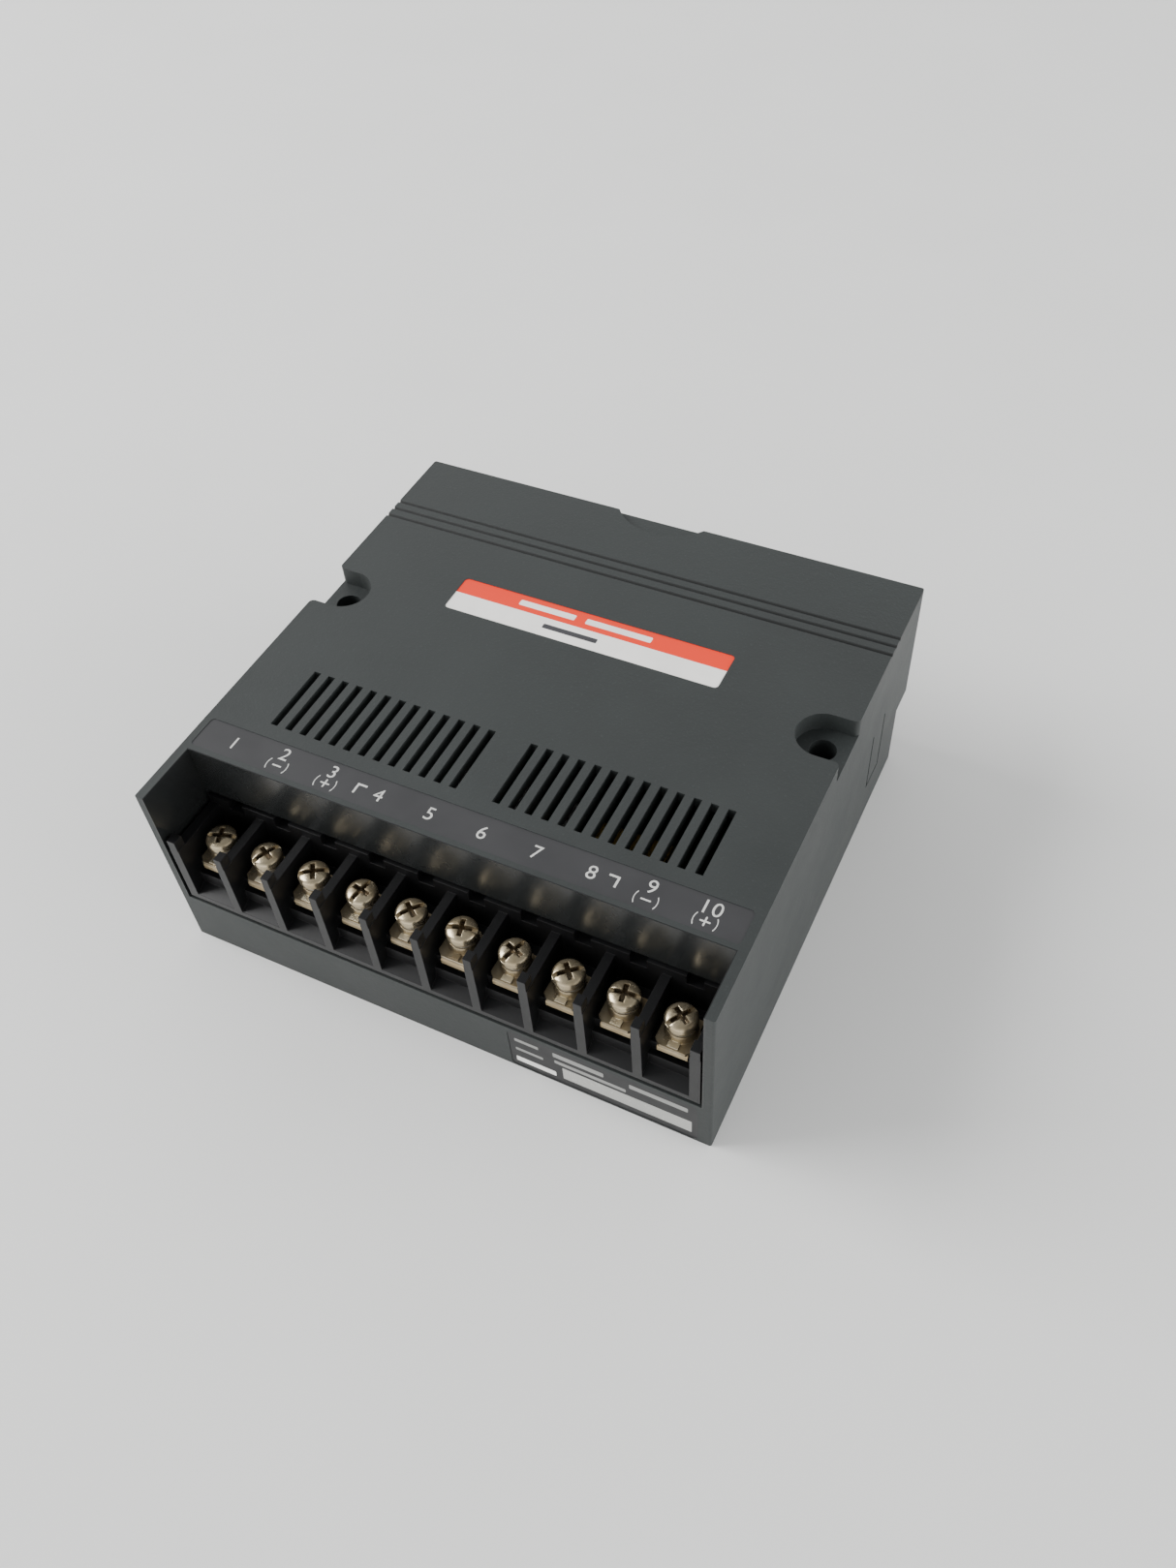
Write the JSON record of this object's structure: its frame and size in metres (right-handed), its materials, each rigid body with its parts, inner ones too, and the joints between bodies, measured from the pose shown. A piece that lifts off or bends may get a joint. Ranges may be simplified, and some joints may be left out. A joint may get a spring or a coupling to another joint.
{
  "type": "plc expansion module",
  "caption": "Flat grey controller expansion module: slotted case top, open front edge with a black row of screw terminals, side pockets with mounting holes.",
  "frame": {"origin": "middle of the case's footprint, on the mounting face", "axes": "+X along the terminal row, +Y from the terminal front to the rear wall, +Z out of the mounting face"},
  "size_m": [0.105, 0.1, 0.04],
  "materials": {
    "case_plastic": "fine textured, satin",
    "base_plastic": "fine textured",
    "block_plastic": "satin moulded",
    "strip_film": "satin film",
    "function_film": "satin film, two colours",
    "type_film": "satin film",
    "circuit_board": "solder mask",
    "connector_plastic": "moulded",
    "gold_contact": "plated",
    "zinc_steel": "zinc plated",
    "terminal_brass": "plated, semi bright",
    "screw_brass": "plated, semi bright",
    "ferrite_tape": "taped winding",
    "can_sleeve": "shrink sleeve",
    "chip_plastic": "moulded epoxy",
    "coupler_plastic": "moulded"
  },
  "bodies": {
    "case": {"top_cover": "case_plastic", "base_plate": "base_plastic", "terminal_block": "block_plastic", "strip_label": "strip_film", "function_label": "function_film", "type_label": "type_film", "main_board": "circuit_board", "board_screws": "zinc_steel", "expansion_connector": "connector_plastic", "connector_pins": "gold_contact", "power_transformer": "ferrite_tape", "filter_capacitor_1": "can_sleeve", "filter_capacitor_2": "can_sleeve", "choke_coil": "ferrite_tape", "voltage_regulator": "chip_plastic", "controller_chip": "chip_plastic", "converter_chips": "chip_plastic", "optocouplers": "coupler_plastic", "crystal": "zinc_steel", "terminal_plate_1": "terminal_brass", "terminal_plate_2": "terminal_brass", "terminal_plate_3": "terminal_brass", "terminal_plate_4": "terminal_brass", "terminal_plate_5": "terminal_brass", "terminal_plate_6": "terminal_brass", "terminal_plate_7": "terminal_brass", "terminal_plate_8": "terminal_brass", "terminal_plate_9": "terminal_brass", "terminal_plate_10": "terminal_brass"},
    "clamp_1": {"clamp_plate_1": "terminal_brass", "lock_washer_1": "zinc_steel"},
    "screw_1": {"terminal_screw_1": "screw_brass"},
    "clamp_2": {"clamp_plate_2": "terminal_brass", "lock_washer_2": "zinc_steel"},
    "screw_2": {"terminal_screw_2": "screw_brass"},
    "clamp_3": {"clamp_plate_3": "terminal_brass", "lock_washer_3": "zinc_steel"},
    "screw_3": {"terminal_screw_3": "screw_brass"},
    "clamp_4": {"clamp_plate_4": "terminal_brass", "lock_washer_4": "zinc_steel"},
    "screw_4": {"terminal_screw_4": "screw_brass"},
    "clamp_5": {"clamp_plate_5": "terminal_brass", "lock_washer_5": "zinc_steel"},
    "screw_5": {"terminal_screw_5": "screw_brass"},
    "clamp_6": {"clamp_plate_6": "terminal_brass", "lock_washer_6": "zinc_steel"},
    "screw_6": {"terminal_screw_6": "screw_brass"},
    "clamp_7": {"clamp_plate_7": "terminal_brass", "lock_washer_7": "zinc_steel"},
    "screw_7": {"terminal_screw_7": "screw_brass"},
    "clamp_8": {"clamp_plate_8": "terminal_brass", "lock_washer_8": "zinc_steel"},
    "screw_8": {"terminal_screw_8": "screw_brass"},
    "clamp_9": {"clamp_plate_9": "terminal_brass", "lock_washer_9": "zinc_steel"},
    "screw_9": {"terminal_screw_9": "screw_brass"},
    "clamp_10": {"clamp_plate_10": "terminal_brass", "lock_washer_10": "zinc_steel"},
    "screw_10": {"terminal_screw_10": "screw_brass"}
  },
  "joints": [
    {"name": "clamp_1_lift", "type": "slide", "parent": "case", "child": "clamp_1", "axis": [0, 0, 1], "range_m": [0, 0.0015]},
    {"name": "screw_1_turn", "type": "hinge", "parent": "clamp_1", "child": "screw_1", "pos_m": [-0.04399, -0.0434, 0.0244], "axis": [0, 0, 1], "range_deg": [0, 1080]},
    {"name": "clamp_2_lift", "type": "slide", "parent": "case", "child": "clamp_2", "axis": [0, 0, 1], "range_m": [0, 0.0015]},
    {"name": "screw_2_turn", "type": "hinge", "parent": "clamp_2", "child": "screw_2", "pos_m": [-0.03417, -0.0434, 0.0244], "axis": [0, 0, 1], "range_deg": [0, 1080]},
    {"name": "clamp_3_lift", "type": "slide", "parent": "case", "child": "clamp_3", "axis": [0, 0, 1], "range_m": [0, 0.0015]},
    {"name": "screw_3_turn", "type": "hinge", "parent": "clamp_3", "child": "screw_3", "pos_m": [-0.02435, -0.0434, 0.0244], "axis": [0, 0, 1], "range_deg": [0, 1080]},
    {"name": "clamp_4_lift", "type": "slide", "parent": "case", "child": "clamp_4", "axis": [0, 0, 1], "range_m": [0, 0.0015]},
    {"name": "screw_4_turn", "type": "hinge", "parent": "clamp_4", "child": "screw_4", "pos_m": [-0.01453, -0.0434, 0.0244], "axis": [0, 0, 1], "range_deg": [0, 1080]},
    {"name": "clamp_5_lift", "type": "slide", "parent": "case", "child": "clamp_5", "axis": [0, 0, 1], "range_m": [0, 0.0015]},
    {"name": "screw_5_turn", "type": "hinge", "parent": "clamp_5", "child": "screw_5", "pos_m": [-0.00471, -0.0434, 0.0244], "axis": [0, 0, 1], "range_deg": [0, 1080]},
    {"name": "clamp_6_lift", "type": "slide", "parent": "case", "child": "clamp_6", "axis": [0, 0, 1], "range_m": [-0.0005, 0.001]},
    {"name": "screw_6_turn", "type": "hinge", "parent": "clamp_6", "child": "screw_6", "pos_m": [0.00511, -0.0434, 0.0244], "axis": [0, 0, 1], "range_deg": [-360, 720]},
    {"name": "clamp_7_lift", "type": "slide", "parent": "case", "child": "clamp_7", "axis": [0, 0, 1], "range_m": [0, 0.0015]},
    {"name": "screw_7_turn", "type": "hinge", "parent": "clamp_7", "child": "screw_7", "pos_m": [0.01493, -0.0434, 0.0244], "axis": [0, 0, 1], "range_deg": [0, 1080]},
    {"name": "clamp_8_lift", "type": "slide", "parent": "case", "child": "clamp_8", "axis": [0, 0, 1], "range_m": [0, 0.0015]},
    {"name": "screw_8_turn", "type": "hinge", "parent": "clamp_8", "child": "screw_8", "pos_m": [0.02475, -0.0434, 0.0244], "axis": [0, 0, 1], "range_deg": [0, 1080]},
    {"name": "clamp_9_lift", "type": "slide", "parent": "case", "child": "clamp_9", "axis": [0, 0, 1], "range_m": [0, 0.0015]},
    {"name": "screw_9_turn", "type": "hinge", "parent": "clamp_9", "child": "screw_9", "pos_m": [0.03457, -0.0434, 0.0244], "axis": [0, 0, 1], "range_deg": [0, 1080]},
    {"name": "clamp_10_lift", "type": "slide", "parent": "case", "child": "clamp_10", "axis": [0, 0, 1], "range_m": [0, 0.0015]},
    {"name": "screw_10_turn", "type": "hinge", "parent": "clamp_10", "child": "screw_10", "pos_m": [0.04439, -0.0434, 0.0244], "axis": [0, 0, 1], "range_deg": [0, 1080]}
  ],
  "couplings": [
    {"joint": "screw_1_turn", "follows": "clamp_1_lift", "rad_per_m": 12566},
    {"joint": "screw_2_turn", "follows": "clamp_2_lift", "rad_per_m": 12566},
    {"joint": "screw_3_turn", "follows": "clamp_3_lift", "rad_per_m": 12566},
    {"joint": "screw_4_turn", "follows": "clamp_4_lift", "rad_per_m": 12566},
    {"joint": "screw_5_turn", "follows": "clamp_5_lift", "rad_per_m": 12566},
    {"joint": "screw_6_turn", "follows": "clamp_6_lift", "rad_per_m": 12566},
    {"joint": "screw_7_turn", "follows": "clamp_7_lift", "rad_per_m": 12566},
    {"joint": "screw_8_turn", "follows": "clamp_8_lift", "rad_per_m": 12566},
    {"joint": "screw_9_turn", "follows": "clamp_9_lift", "rad_per_m": 12566},
    {"joint": "screw_10_turn", "follows": "clamp_10_lift", "rad_per_m": 12566}
  ]
}
